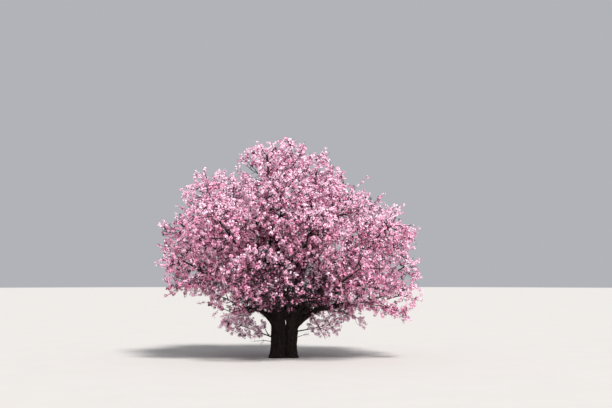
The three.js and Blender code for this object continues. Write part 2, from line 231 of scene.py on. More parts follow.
# Hollows in the crown's outline and gaps in it, as the photo shows them: the middle across and up, and half
# the width and height. They go right through the crown from front to back.
HOLLOWS = np.array((
    (2560, 6440, 430, 430), (3170, 6010, 260, 340), (1940, 7160, 420, 250), (1150, 7570, 300, 240),
    (-1400, 6840, 310, 270), (-1090, 6600, 210, 230), (-930, 6190, 110, 240), (4320, 4970, 340, 240),
    (-4210, 5180, 350, 310), (-4430, 3020, 260, 300),
))

# Limbs that hang or trail out of a mass: where along its bough they start, where they end, how steeply they
# leave and end in degrees, their radii, and how far off their flowering twigs stand and how many there are.
Trail = namedtuple("Trail", "mass start end slopes radius reach twigs")
TRAILS = (
    Trail("skirt_5", 0.46, (2790, -520, 1330), (-8, -28), (36, 12), 300, 34),
    Trail("skirt_5", 0.93, (4380, -760, 1480), (-4, -34), (26, 9), 290, 40),
    Trail("skirt_5", 0.5, (3400, -1080, 1980), (-2, -6), (24, 9), 260, 44),
    Trail("low_5", 0.92, (-3960, -1250, 2300), (-12, -42), (22, 8), 290, 36),
    Trail("middle_1", 0.94, (4080, 150, 5420), (40, 66), (20, 8), 270, 30),
    Trail("skirt_1", 0.6, (2230, 1290, 1390), (-10, -34), (28, 9), 300, 30),
    Trail("skirt_3", 0.72, (-2150, -560, 1230), (-14, -30), (28, 9), 320, 44),
    Trail("skirt_2", 0.75, (-1500, 1830, 1420), (-12, -34), (26, 9), 300, 34),
)
TRAIL_SHARES = (0.1, 0.4, 1.0)
TRAIL_START = 0.3
TRAIL_DROOP = 0.2
TRAIL_EDGE = 0.95

# Short limbs that fan out over the fork, between the boughs, and then bare twigs low on the limbs: the limb
# that each grows from, the height at which it starts, its end, the slopes and the radii.
Side = namedtuple("Side", "limb height end slopes radius")
SPURS = (
    Side("leader_left", 1190, (-1220, -420, 2080), (38, 48), (112, 24)),
    Side("leader_left", 1420, (-1020, 160, 2420), (52, 62), (92, 22)),
    Side("leader_left", 1330, (-560, -980, 2260), (46, 50), (78, 20)),
    Side("leader_right", 1250, (1130, -420, 2160), (44, 52), (104, 24)),
    Side("leader_right", 1400, (1010, 330, 2420), (52, 62), (90, 22)),
    Side("leader_right", 1330, (260, -960, 2300), (52, 48), (72, 20)),
    Side("leader_back", 1350, (230, 1080, 2300), (46, 52), (84, 22)),
    Side("leader_back", 1480, (-900, 900, 2360), (44, 56), (80, 22)),
    Side("leader_right", 1120, (30, 300, 2350), (50, 88), (92, 30)),
    Side("leader_left", 1040, (-10, -70, 2400), (60, 88), (84, 28)),
    Side("leader_right", 1150, (-190, -330, 2250), (50, 74), (88, 26)),
    Side("leader_back", 1560, (210, 430, 2950), (56, 84), (122, 40)),
)
BARE_TWIGS = (
    Side("bough_skirt_5", 1560, (1450, -470, 690), (-40, -52), (15, 5)),
    Side("leader_left", 520, (-1090, -180, 590), (14, -12), (17, 5)),
    Side("leader_back", 700, (-820, 760, 760), (20, -4), (15, 5)),
    Side("leader_right", 640, (880, 420, 830), (16, 4), (15, 5)),
)
BARE_SIDE_TWIGS = 7
BARE_SIDE_PLACES = (0.5, 0.95)
BARE_SIDE_LENGTHS = (90, 240)
BARE_SIDE_TURN = 0.9
BARE_UPTURN = 0.4
BARE_TIP = 2.5

# How dense each tier is with the finer twigs, and how much more than the usual they turn up or droop.
TIER_HABIT = {
    "skirt": (0.72, -0.35), "low": (0.92, -0.05), "middle": (1.1, 0.1), "shoulder": (1.15, 0.15),
    "top": (1.2, 0.2), "crest": (1.15, 0.2), "shoot": (1.5, -0.1),
}

# Where sprays sit on the finest twigs, how many flowers a spray has, how far they slide along the twig and
# stand off it in shares of their radius, how they lean along it, and how their facings and sizes vary.
SPRAY_PLACES = (0.3, 0.49, 0.67, 0.84, 0.99)
SPRAY_FIRST = 0.2
SPRAY_JITTER = 0.05
SPRAY_FLOWERS = 3
SPRAY_SLIDE = 0.5
SPRAY_LEAN = (-0.55, 0.95)
STALK_REACH = (0.75, 1.5)
FACING_SPREAD = 0.28
FLOWER_SIZES = (0.82, 1.16)
EDGE_ALONG = 0.25
OUTER_SHARE = 0.78

# A petal's half width in degrees, and how far out it is widest and how high it stands there and at its tip,
# in shares of the flower's radius.
PETALS = 5
PETAL_HALF_WIDTH = 29
PETAL_WAIST = 0.84
PETAL_CUP = (0.34, 0.26)

# Sprays are dealt to these tones, each with its slot, by their place in the crown: the value at the middle,
# how it changes with height, across the crown, and towards the edge and the top of a mass, and its random
# spread. Besides the random spread this is painted light and shade: paler high in the crown, to the right
# and at the edge and top of a mass, where the light falls, deeper in a painted-shade core over the trunk
# and inside the masses, and paler on the low shoots as painted light.
TONES = {
    "shade": "blossom_deep", "deep": "blossom_deep", "rose": "blossom_rose", "pink": "blossom_pink",
    "light": "blossom_pink", "pale": "blossom_pale",
}
TONE_STEPS = (0.14, 0.25, 0.40, 0.54, 0.69)
TONE_MIDDLE = 0.55
PAINTED_LIGHT_HEIGHTS = (2500, 4300, 5100)
PAINTED_LIGHT_AT_HEIGHTS = (-0.01, 0.01, 0.13)
PAINTED_LIGHT_ACROSS = 0.04 / 4800
PAINTED_LIGHT_OUTWARDS = 0.6
PAINTED_LIGHT_UPWARDS = 0.14
TONE_SPREAD = 0.2
SHADED_CORE_MIDDLE = (350, 0)
SHADED_CORE_SIZE = (1500, 4600)
SHADED_CORE_HEIGHTS = (1500, 4900)
SHADED_CORE_DEPTH = 0.1
CORE_SHADE = 0.9
INNER_SHADE = 0.13
SHOOT_TOP = 1600
SHOOT_PAINTED_LIGHT = 0.3
PIECE_FACES = 190000

# The finish of each material: the scale of its soft noise, its roughness, how far the noise is stretched
# and how much it stands out, and its sheen. Then how far the colours of petals, stalks and floor vary.
Finish = namedtuple("Finish", "scale roughness stretch bump sheen", defaults=((1.0, 1.0, 1.0), 0.0, 0.5))
BARK_FINISH = Finish(26.0, 0.9, (1.0, 1.0, 0.32), 0.8, 0.1)
TWIG_FINISH = Finish(60.0, 0.8, sheen=0.25)
PETAL_FINISH = Finish(5.0, 0.6)
STALK_FINISH = Finish(9.0, 0.6)
FLOOR_FINISH = Finish(0.6, 0.9)
PETAL_VARIATION = (0.86, 1.1)
STALK_VARIATION = (0.8, 1.0)
FLOOR_VARIATION = (1.0, 1.03)
BRIGHTEST = 0.97
NOISE_DETAIL = 4
NOISE_ROUGHNESS = 0.62
NOISE_RANGE = (0.32, 0.68)
BUMP_DISTANCE = 0.008

# The photo's frame: its size in pixels, the pixel of the tree's foot, and the millimetres in a pixel. Then
# the camera's sensor and sight, the floor's disc, and the colours, width and turn of the lights.
PHOTO_SIZE = (612, 408)
PHOTO_FOOT = (285, 357)
PHOTO_SCALE = 36
SENSOR = 36
SIGHT = 1000
FLOOR_GRID = (12, 64)
FLOOR_REACH = 160000
FLOOR_HEIGHT = -1.0
SKY_COLOUR = (0.92, 0.94, 1.0, 1)
KEY_COLOUR = (1.0, 0.97, 0.95)
KEY_WIDTH = 14
KEY_TURN = (40, 0, 26)


@dataclass
class Limb:
    """A limb: its curve, its radii at both ends and how they taper, the height of its fork, its leader's
    radius there, the turn of its root ridges, and where its bark's noise starts."""

    name: str
    curve: np.ndarray
    radius: tuple
    taper: float = 1
    fork: float = None
    parent_radius: float = 0
    flare: float = None
    grain: int = 0


Entry = namedtuple("Entry", "point way radius")
Frames = namedtuple("Frames", "middle way across other length")


@dataclass
class Mass:
    """A mass of blossom: its space, the limb that leads to it, and where and how its stem enters it."""

    name: str
    centre: np.ndarray
    size: np.ndarray
    axes: np.ndarray
    heading: float
    limb: Limb = None
    entry: Entry = None
    walls: tuple = ()
    phase: float = 0
    stem: np.ndarray = None


def seeded_stream(state):
    """A stream of numbers from 0 to 1: each state is the last times a factor plus a step, modulo a size."""
    while True:
        state = (state * STREAM_FACTOR + STREAM_STEP) % STREAM_SIZE
        yield state / STREAM_SIZE


def unit(vectors):
    """Each vector divided by its length."""
    vectors = np.asarray(vectors, float)
    return vectors / np.maximum(np.linalg.norm(vectors, axis=-1, keepdims=True), TINY)


def flat(vector):
    """The horizontal direction of a vector."""
    return unit((vector[0], vector[1], 0.0))


def rising(outward, angle):
    """The direction that points out along a horizontal one and rises by an angle in degrees."""
    slope = math.radians(angle)
    return outward * math.cos(slope) + UP * math.sin(slope)


def circle(count):
    """Even angles round a circle."""
    return np.arange(count) * 2 * math.pi / count


def pair_across(way, lead=None):
    """Two directions square to each given one: the cross product with up, or with x where lead is steep,
    and the cross product of the given one with that."""
    lead = way if lead is None else lead
    helper = np.where(np.abs(lead[..., 2:]) > STEEP, X_WAY, UP)
    across = unit(np.cross(helper, way))
    return across, np.cross(way, across)


def ring_ways(across, other, sides):
    """Directions round a limb at even angles a: cos a across + sin a other."""
    angle = circle(sides)[:, None]
    return np.cos(angle) * across[..., None, :] + np.sin(angle) * other[..., None, :]


def bend(start, start_way, end, end_way, pull, end_pull=None):
    """The four points of a cubic curve that leaves start along start_way and reaches end along end_way.

    The inner points stand off the ends by pull and end_pull times the distance between them."""
    distance = np.linalg.norm(end - start, axis=-1, keepdims=True)
    last = pull if end_pull is None else end_pull
    inner = (start + start_way * distance * pull, end - end_way * distance * last)
    return np.stack((start, *inner, end), axis=-2)


def sloped_bend(start, end, slopes):
    """A curve from start to end that leaves and ends at two slopes in degrees."""
    end = np.array(end, float)
    outward = flat(end - start)
    return bend(start, rising(outward, slopes[0]), end, rising(outward, slopes[1]), BOUGH_PULL)


def curve_point(curve, share):
    """The point of a cubic curve at a share t: its four points times (1-t)^3, 3t(1-t)^2, 3t^2(1-t), t^3."""
    t = np.asarray(share, float)[..., None]
    a, b, c, d = np.moveaxis(np.asarray(curve), -2, 0)
    return (1 - t) ** 3 * a + 3 * t * (1 - t) ** 2 * b + 3 * t**2 * (1 - t) * c + t**3 * d


def curve_way(curve, share):
    """The direction of a cubic curve at a share, from its derivative."""
    t = np.asarray(share, float)[..., None]
    a, b, c, d = np.moveaxis(np.asarray(curve), -2, 0)
    return unit((1 - t) ** 2 * (b - a) + 2 * t * (1 - t) * (c - b) + t**2 * (d - c))


def radius_at(limb, share):
    """The radius of a limb at a share s of its curve: from first to last by s to the power of its taper."""
    first, last = limb.radius
    return first + (last - first) * share**limb.taper


def share_at_height(limb, height):
    """The share of a limb's curve at which it passes a height, by halving."""
    low, high = 0.0, 1.0
    for _ in range(HALVINGS):
        middle = (low + high) / 2
        below = curve_point(limb.curve, middle)[2] < height
        low, high = (middle, high) if below else (low, middle)
    return low


def root_flare(phase, height, angle):
    """The widening at the foot: 1 + flare e^(-z/h) (1 + ridges cos(n a + phase))."""
    fade = np.exp(-np.maximum(height, 0) / FLARE_HEIGHT)
    return 1 + FLARE * fade * (1 + RIDGE_SHARE * np.cos(FLARE_RIDGES * angle + phase))


def make_mass(name, centre, size, heading):
    """A mass's space is an ellipsoid whose axes point out from the trunk, sideways and up."""
    outward = flat(centre)
    axes = np.array((outward, np.cross(UP, outward), UP))
    return Mass(name, centre, np.array(size, float), axes, heading)


def tier_masses(tier, random):
    """The masses of a tier stand evenly round the trunk, and the outermost reach the crown's edge."""
    out = tier.size[0]
    angles = [math.radians(tier.turn + i * 360 / tier.count) for i in range(tier.count)]
    far_right = max(math.cos(angle) for angle in angles)
    far_left = max(-math.cos(angle) for angle in angles)
    masses = []
    for i, angle in enumerate(angles):
        across, back = math.cos(angle), math.sin(angle)
        x = across * ((tier.right - out) / far_right if across > 0 else (tier.left - out) / far_left)
        lift = (2 * random() - 1) * HEIGHT_SPREAD
        height = tier.height + (lift if tier.fork and tier.count > 1 else 0)
        height += tier.arch * abs(back) - tier.tilt * x
        centre = np.array((x, (tier.depth - out) * back, height))
        masses.append(make_mass(f"{tier.name}_{i + 1}", centre, tier.size, tier.heading))
    return masses


def reach_of(mass, way):
    """How far a mass's ellipsoid reaches from its middle in a direction."""
    return 1 / np.linalg.norm(mass.axes @ way / mass.size)


def part_spaces(masses):
    """A flat wall parts each two masses, where the line between their middles leaves one for the other."""
    for mass in masses:
        normals, limits = [], []
        for other in masses:
            if other is mass:
                continue
            normal = other.centre - mass.centre
            distance = np.linalg.norm(normal)
            normal = normal / distance
            own = reach_of(mass, normal)
            normals.append(normal)
            limits.append(distance * own / (own + reach_of(other, normal)) - SPACE_ROOM)
        mass.walls = (np.array(normals), np.array(limits))


def make_leader(index, mass):
    """The leader of a stem, from its foot, leaning in a little at first, into its mass in the top tier."""
    stem = STEMS[index]
    outward = mass.axes[0]
    way = rising(outward, LEADER_RISE)
    entry = mass.centre - way * ENTRY * reach_of(mass, way)
    foot = np.array((*stem.foot, STEM_START), float)
    curve = bend(foot, rising(outward, 90 + LEADER_LEAN), entry, way, *LEADER_PULL)
    mass.entry = Entry(entry, way, stem.radius[1])
    mass.limb = Limb(f"leader_{stem.name}", curve, stem.radius, LEADER_TAPER, flare=index * RIDGE_TURN)
    return mass.limb


def make_bough(tier, mass, index, leaders, random):
    """A bough from its leader out to its mass, swaying a little to one side."""
    fork = tier.fork + (FORK_SPREAD if index % 2 else -FORK_SPREAD) * random()
    shares = [share_at_height(leader, fork) for leader in leaders]
    starts = [curve_point(leader.curve, share) for leader, share in zip(leaders, shares)]
    nearest = max(range(len(leaders)), key=lambda i: starts[i] @ mass.axes[0])
    start = starts[nearest]
    inward = unit(mass.centre - start)
    outward = flat(inward)
    entry = mass.centre - inward * ENTRY * reach_of(mass, inward)
    curve = bend(start, rising(outward, tier.rise), entry, rising(outward, mass.heading), BOUGH_PULL)
    sway = (2 * random() - 1) * BOUGH_SWAY * np.linalg.norm(entry - start)
    sideways = np.cross(UP, outward)
    curve[1] += sideways * sway
    curve[2] -= sideways * sway
    parent_radius = radius_at(leaders[nearest], shares[nearest])
    mass.entry = Entry(entry, curve_way(curve, 1.0), tier.bough[1])
    mass.limb = Limb(f"bough_{mass.name}", curve, tier.bough, fork=fork, parent_radius=parent_radius)
    return mass.limb


def make_shoot(shoot, leaders):
    """A shoot low on the trunk, whose stem starts inside it."""
    leader = leaders[shoot.stem]
    start = curve_point(leader.curve, share_at_height(leader, shoot.fork))
    mass = make_mass(shoot.name, np.array(shoot.centre, float), shoot.size, SHOOT_HEADING)
    mass.entry = Entry(start, unit(mass.centre - start), SHOOT_RADIUS)
    return mass


def make_stem(mass):
    """The stem of a mass goes on from its bough's tip past the middle of the mass."""
    start = mass.entry.point + mass.entry.way * CLEARANCE
    end_way = rising(mass.axes[0], mass.heading + STEM_UPTURN)
    end = mass.centre + end_way * STEM_REACH * reach_of(mass, end_way)
    return bend(start, mass.entry.way, end, end_way, STEM_PULL)


@functools.lru_cache(maxsize=1)
def plan_tree():
    """The leaders, the boughs and the masses, each draw in the order in which the source makes it."""
    random = seeded_stream(SEED).__next__
    tiers = [(tier, tier_masses(tier, random)) for tier in TIERS]
    tops = next(masses for tier, masses in tiers if not tier.fork)
    leaders = [make_leader(i, mass) for i, mass in enumerate(tops)]
    boughs = [
        make_bough(tier, mass, i, leaders, random)
        for tier, masses in tiers
        if tier.fork
        for i, mass in enumerate(masses)
    ]
    for i, limb in enumerate((*leaders, *boughs)):
        limb.grain = (i + 1) * LIMB_GRAIN
    masses = [mass for _, tier in tiers for mass in tier] + [make_shoot(shoot, leaders) for shoot in SHOOTS]
    part_spaces(masses)
    for mass in masses:
        mass.phase = random() * 2 * math.pi
        mass.stem = make_stem(mass)
    return leaders, boughs, masses


def side_limb(side, name, grain):
    """A limb that grows from another one at a height."""
    leaders, boughs, _ = plan_tree()
    parent = next(limb for limb in (*leaders, *boughs) if limb.name == side.limb)
    share = share_at_height(parent, side.height)
    curve = sloped_bend(curve_point(parent.curve, share), side.end, side.slopes)
    return Limb(name, curve, side.radius, 1, side.height, radius_at(parent, share), grain=grain)


@functools.lru_cache(maxsize=1)
def plan_spurs():
    """The short limbs that fan out over the fork."""
    return [side_limb(side, f"spur_{i + 1}", -(i + 1) * LIMB_GRAIN) for i, side in enumerate(SPURS)]


def trail_curves(mass):
    """The limbs that trail out of a mass, with their curves."""
    return [
        (trail, sloped_bend(curve_point(mass.limb.curve, trail.start), trail.end, trail.slopes))
        for trail in TRAILS
        if trail.mass == mass.name
    ]


def bare_curves(rng):
    """The bare twigs and their short side twigs, as curves with their radii."""
    made = []
    for twig in BARE_TWIGS:
        curve = side_limb(twig, "bare", 0).curve[None]
        share = rng.uniform(*BARE_SIDE_PLACES, BARE_SIDE_TWIGS)
        length = rng.uniform(*BARE_SIDE_LENGTHS, BARE_SIDE_TWIGS)
        turn = unit(rng.normal(size=(BARE_SIDE_TWIGS, 3))) * BARE_SIDE_TURN
        way = unit(curve_way(curve, share) + turn)
        root = curve_point(curve, share)
        tip = root + way * length[:, None]
        shoots = bend(root, way, tip, unit(way + UP * BARE_UPTURN), TWIG_PULL)
        made += [(curve, twig.radius), (shoots, (twig.radius[1], BARE_TIP))]
    return made


def spread_tips(mass, count, depth, rng):
    """Tips spread evenly over directions on a golden spiral, and between two shares of the mass's radius.

    A tip's direction has the height 1-(2i+1)/n and the angle i times the golden angle, scaled by the
    mass's half sizes. One that would pass a wall stops short of it."""
    i = np.arange(count)
    height = 1 - (2 * i + 1) / count
    ring = np.sqrt(1 - height**2)
    angle = i * GOLDEN_ANGLE + (mass.phase + depth)
    local = np.stack((ring * np.cos(angle), ring * np.sin(angle), height), axis=1)
    way = (local * mass.size) @ mass.axes
    normals, limits = mass.walls
    ahead = way @ normals.T
    stops = np.where(ahead > NEAR, WALL_REACH * limits / np.maximum(ahead, NEAR), np.inf)
    low, high = LEVELS[depth].shares
    share = low + (high - low) * rng.random(count) ** TIP_POWER
    reach = np.minimum(stops.min(axis=1), 1.0)
    return mass.centre + way * (reach * share)[:, None], share


def tips_round(curve, share, reach, lean, rng):
    """Tips round a limb: its point at each share, plus an offset that leans one way.

    The offset's length is the reach times the square root of a random number."""
    way = unit(rng.normal(size=(len(share), 3)) + lean)
    return curve_point(curve[None], share) + way * (reach * rng.random(len(share)) ** 0.5)[:, None]


def inner_tips(limb, count, rng):
    """Tips round the limb that leads to a mass, further off it towards its tip, above the lowest twigs."""
    first = INNER_START
    if not limb.fork:
        first = LEADER_START
        count = round(count * LEADER_SHARE)
    share = rng.uniform(first, 1.0, count)
    reach = INNER_REACH[0] + (INNER_REACH[1] - INNER_REACH[0]) * (share - first) / (1 - first)
    tips = tips_round(limb.curve, share, reach, UP * INNER_LIFT, rng)
    floor = np.where(tips[:, 1] > limb.curve[0, 1], INNER_FLOOR_BEHIND, INNER_FLOOR)
    floor = np.where(tips[:, 0] > INNER_RIGHT, INNER_FLOOR_RIGHT, floor)
    return tips[tips[:, 2] > floor]


def mass_tips(mass, trails, depth, share, rng):
    """The tips of one level of a mass's twigs, and how near to its edge each counts as, from 0 to 1."""
    settings = LEVELS[depth]
    groups = [spread_tips(mass, max(LEAST_TWIGS, round(settings.count * share)), depth, rng)]
    if mass.limb:
        groups.append((inner_tips(mass.limb, round(settings.inner * share), rng), INNER_EDGE))
    for trail, curve in trails:
        places = rng.uniform(TRAIL_START, 1.0, round(trail.twigs * TRAIL_SHARES[depth]))
        groups.append((tips_round(curve, places, trail.reach, -UP * TRAIL_DROOP, rng), TRAIL_EDGE))
    edges = [np.full(len(tips), edge) for tips, edge in groups]
    return np.concatenate([tips for tips, _ in groups]), np.concatenate(edges)


def in_hollow(points):
    """Whether each point is in a hollow: ((x-a)/w)^2 + ((z-b)/h)^2 is under 1 for one of them."""
    offset = (points[:, None, ::2] - HOLLOWS[:, :2]) / HOLLOWS[:, 2:]
    return ((offset**2).sum(axis=2) < 1).any(axis=1)


def grow_level(parents, places, tips, upturn, rng):
    """One level of twigs, each from the twig of the level before that gives its tip the shortest way.

    On each parent the fork is where the twig makes the fork angle with the parent's chord: the share
    (ahead - aside / tan(angle)) / length. The curve leaves straight for the tip and turns up."""
    start, end = parents[:, 0], parents[:, 3]
    chord = end - start
    length = np.linalg.norm(chord, axis=1)
    offset = tips[:, None] - start[None]
    ahead = (offset * (chord / length[:, None])).sum(axis=2)
    aside = np.sqrt(np.maximum((offset**2).sum(axis=2) - ahead**2, 0))
    share = (ahead - aside / math.tan(math.radians(TWIG_FORK))) / length
    share = np.clip(share, places[:, 0], places[:, 1])
    forks = curve_point(parents[None], share)
    distance = np.linalg.norm(tips[:, None] - forks, axis=2)
    fork = forks[np.arange(len(tips)), distance.argmin(axis=1)]
    way = unit(tips - fork)
    curves = bend(fork, way, tips, unit(way + UP * upturn), TWIG_PULL)
    curves[:, 1:3] += rng.normal(0, TWIG_SWAY, (len(tips), 2, 3)) * distance.min(axis=1)[:, None, None]
    return curves


@functools.lru_cache(maxsize=2)
def grow_twigs(fullness):
    """Every mass's twigs, level by level, with how near its mass's edge each finest twig ends, from 0 to 1,
    and how high in the mass, from -1 to 1."""
    rng = np.random.default_rng(SEED)
    low, high = (np.array(corner) / MM for corner in CAD_BOX)
    levels = [[] for _ in LEVELS]
    edges, lifts = [], []
    for mass in plan_tree()[2]:
        size = (np.prod(mass.size) / np.prod(MEAN_SPACE)) ** SIZE_POWER * fullness
        density, droop = TIER_HABIT[mass.name.split("_")[0]]
        trails = trail_curves(mass)
        limbs = [mass.limb.curve] if mass.limb else []
        parents = np.array([mass.stem, *limbs, *(curve for _, curve in trails)])
        places = np.array([TWIG_PLACES] + [LIMB_PLACES] * (len(parents) - 1))
        for depth, settings in enumerate(LEVELS):
            tips, edge = mass_tips(mass, trails, depth, size * (density if depth else 1), rng)
            inside = ((tips > low + BOX_ROOM) & (tips < high - BOX_ROOM)).all(axis=1) & ~in_hollow(tips)
            curves = grow_level(parents, places, tips[inside], settings.upturn + droop, rng)
            levels[depth].append(curves)
            parents = np.concatenate((parents, curves))
            places = np.concatenate((places, np.tile(TWIG_PLACES, (len(curves), 1))))
        edges.append(edge[inside])
        lifts.append(np.clip((curves[:, 3, 2] - mass.centre[2]) / mass.size[2], -1, 1))
    return [np.concatenate(curves) for curves in levels], np.concatenate(edges), np.concatenate(lifts)


def wall_faces(rings, sides):
    """The triangles between the rings of a grid: two for each side, between one ring and the next."""
    ring, side = np.meshgrid(np.arange(rings - 1), np.arange(sides), indexing="ij")
    a = (ring * sides + side).ravel()
    b = (ring * sides + (side + 1) % sides).ravel()
    return np.concatenate((np.stack((a, b, b + sides), 1), np.stack((a, b + sides, a + sides), 1)))


def fan_faces(start, sides, point):
    """A fan of triangles from a ring, whose points begin at start, to one point."""
    k = np.arange(sides)
    return np.stack((start + k, start + (k + 1) % sides, np.full(sides, point)), 1)


def tube_faces(sides, rings):
    """The triangles of one closed tube: its walls, a pointed tip and a flat base."""
    tip = fan_faces((rings - 1) * sides, sides, rings * sides)
    base = np.stack((np.zeros(sides - 2, int), np.arange(2, sides), np.arange(1, sides - 1)), 1)
    return np.concatenate((wall_faces(rings, sides), tip, base))


def limb_faces(around, along):
    """The triangles of a tube on a grid, with a fan to one extra point at each end, faces outwards."""
    walls = wall_faces(along, around)[:, ::-1]
    foot = fan_faces(0, around, along * around)
    head = fan_faces((along - 1) * around, around, along * around + 1)[:, ::-1]
    return np.concatenate((walls, foot, head))


def copies(points, faces):
    """Many copies of a shape as one mesh, from the points of each copy and the faces of one."""
    starts = np.arange(len(points)) * points.shape[1]
    return points.reshape(-1, 3), (faces + starts[:, None, None]).reshape(-1, 3)


def joined(parts):
    """Several meshes, each of points and faces, as one."""
    starts = np.cumsum([0] + [len(points) for points, _ in parts])
    faces = [faces + start for (_, faces), start in zip(parts, starts)]
    return np.concatenate([points for points, _ in parts]), np.concatenate(faces)


def tubes(curves, radii, sides, rings):
    """Closed tubes round many cubic curves at once, as points and faces.

    A ring's points are its middle plus the radius times (cos a across + sin a other), at even angles a.
    The radius falls evenly from base to tip. The tip is a point, and the base is flat."""
    share = np.linspace(0, 1, rings)
    middle = curve_point(curves[:, None], share[None])
    way = curve_way(curves[:, None], share[None])
    chord = unit(curves[:, 3] - curves[:, 0])
    radius = radii[0] + (radii[1] - radii[0]) * share
    body = middle[:, :, None] + ring_ways(*pair_across(way, chord[:, None]), sides) * radius[:, None, None]
    tip = middle[:, -1:] + way[:, -1:] * radius[-1] * TUBE_TIP
    points = np.concatenate((body.reshape(len(curves), rings * sides, 3), tip), axis=1)
    return copies(points, tube_faces(sides, rings))


def lattice_noise(points, seed):
    """Smooth noise from 0 to 1: a hashed value at each corner of a unit lattice, blended by 3f^2-2f^3."""
    cell = np.floor(points).astype(np.int64)
    blend = points - cell
    blend = blend * blend * (3 - 2 * blend)
    total = np.zeros(len(points))
    for corner in np.ndindex(2, 2, 2):
        mixed = np.bitwise_xor.reduce((cell + corner) * NOISE_FACTORS, axis=1) ^ (seed * NOISE_SEED_FACTOR)
        mixed = (mixed ^ (mixed >> 13)) * NOISE_MIX & 0xFFFFFFFF
        value = ((mixed ^ (mixed >> 16)) & 0xFFFF) / 0xFFFF
        total += value * np.prod(np.where(np.array(corner) == 1, blend, 1 - blend), axis=1)
    return total


def bark_relief(local, radius, depth):
    """How far the bark stands out, in millimetres, at points on limbs of given radii.

    The points are in each limb's own straight frame, across, across and along. The relief is long ridges,
    1-|2n-1| of noise stretched along the limb, thin bands round it where noise squeezed along it passes a
    step, and broad flutes and swellings. Ridges fade on limbs thinner than RIDGE_RADIUS."""
    grains = (RIDGE_GRAIN, FINE_GRAIN, BAND_GRAIN, FLUTE_GRAIN, SWELLING_GRAIN)
    noise = [lattice_noise(local / grain, i + 1) for i, grain in enumerate(grains)]
    ridge, fine = (1 - np.abs(2 * value - 1) for value in noise[:2])
    band = np.clip(noise[2] * BAND_STEP[0] - BAND_STEP[1], 0, 1)
    flute, swelling = noise[3] - 0.5, noise[4] - 0.5
    age = np.clip(radius / RIDGE_RADIUS, RIDGE_LEAST, 1)
    broad = (FLUTE * np.clip(radius / FLUTE_RADIUS, 0, 1) * flute + SWELLING * swelling) * radius
    return age * depth * (ridge**2 + FINE_SHARE * fine + BAND_SHARE * band - RELIEF_LEVEL) + broad


def limb_frames(limb, share):
    """A limb's middle, its direction and two directions across it at shares of its curve, and the length
    along the curve, as the running sum of short chords."""
    curve = limb.curve
    middle = curve_point(curve[None], share)
    way = curve_way(curve[None], share)
    across = np.cross(UP, flat(curve[3] - curve[0]))
    across = unit(across - way * (way @ across)[:, None])
    fine_share = np.linspace(0, 1, CHORDS)
    steps = np.linalg.norm(np.diff(curve_point(curve[None], fine_share), axis=0), axis=1)
    length = np.interp(share, fine_share, np.concatenate(((0,), np.cumsum(steps))))
    return Frames(middle, way, across, np.cross(across, way), length)


def share_at_length(limb, length):
    """The share of a limb's curve at a length along it."""
    fine_share = np.linspace(0, 1, CHORDS)
    return float(np.interp(length, limb_frames(limb, fine_share).length, fine_share))


def collared_radius(limb, share, length):
    """A limb's radius, which widens by collar e^(-d/h) towards the leader that it grows out of."""
    radius = radius_at(limb, share)
    if not limb.fork:
        return radius
    clear = np.maximum(length - limb.parent_radius, 0)
    return radius * (1 + COLLAR * np.exp(-clear / COLLAR_LENGTH))


def limb_surface(limb, low, high, grid, depth, sinks):
    """A limb's surface on a grid of angle by length, with the bark's relief, closed by a fan at each end.

    A point is the curve's middle plus (radius + relief) times (cos a across + sin a other). Where sinks
    has a length for an end, the radius falls by the share SINK over it, so that the end goes under
    another surface."""
    around, along = grid
    share = np.linspace(low, high, along)
    middle, _, across, other, length = limb_frames(limb, share)
    width = collared_radius(limb, share, length)
    for end, distance in zip(sinks, (length - length[0], length[-1] - length)):
        if end:
            width = width * (1 - SINK * (1 - np.clip(distance / end, 0, 1)))
    angle = circle(around)
    radius = np.repeat(width[:, None], around, axis=1)
    if limb.flare is not None:
        radius = radius * root_flare(limb.flare, middle[:, 2:], angle)
    if depth:
        lengths = np.broadcast_to(length[:, None] + limb.grain, radius.shape)
        local = np.stack((np.cos(angle) * radius, np.sin(angle) * radius, lengths), axis=-1)
        radius = radius + bark_relief(local.reshape(-1, 3), radius.ravel(), depth).reshape(radius.shape)
    points = middle[:, None] + ring_ways(across, other, around) * radius[..., None]
    return np.concatenate((points.reshape(-1, 3), middle[[0, -1]])), limb_faces(around, along)


def nearest_limb(points, limbs):
    """For each point, its place in the straight frame of the limb whose surface is nearest, and that
    limb's radius there."""
    samples = []
    for limb, low, high in limbs:
        share = np.linspace(low, high, LIMB_SAMPLES)
        *frames, length = limb_frames(limb, share)
        samples.append((*frames, length + limb.grain, collared_radius(limb, share, length)))
    middle, way, across, other, length, radius = map(np.concatenate, zip(*samples))
    best = np.concatenate([
        (np.linalg.norm(part[:, None] - middle, axis=2) - radius).argmin(axis=1)
        for part in np.array_split(points, len(points) // SEARCH_POINTS + 1)
    ])
    offset = points - middle[best]
    local = np.stack([(offset * axis[best]).sum(axis=1) for axis in (across, other, way)], axis=1)
    local[:, 2] += length[best]
    return local, radius[best]


def fused_parts():
    """The stretches of limbs that are fused with the trunk: each limb with its first and last share.

    The last one is the stock that the three stems share at the foot."""
    leaders, boughs, _ = plan_tree()
    foot, top = np.array(BOLE_FOOT, float), np.array(BOLE_TOP, float)
    bole = Limb("bole", bend(foot, UP, top, UP, STEM_PULL), BOLE_RADIUS)
    sides = [bough for bough in boughs if bough.fork < FUSED_TOP - FUSED_ROOM] + plan_spurs()
    parts = [(limb, 0.0, share_at_length(limb, FUSED_LENGTH)) for limb in sides]
    for limb in leaders:
        parts.append((limb, share_at_height(limb, -GROUND_DEPTH), share_at_height(limb, FUSED_TOP)))
    return [*parts, (bole, share_at_height(bole, -GROUND_DEPTH), 1.0)]


def read_rows(items, key, kind):
    """The three values that each item of a mesh has under a key, as rows."""
    values = np.empty(len(items) * 3, kind)
    items.foreach_get(key, values)
    return values.reshape(-1, 3)


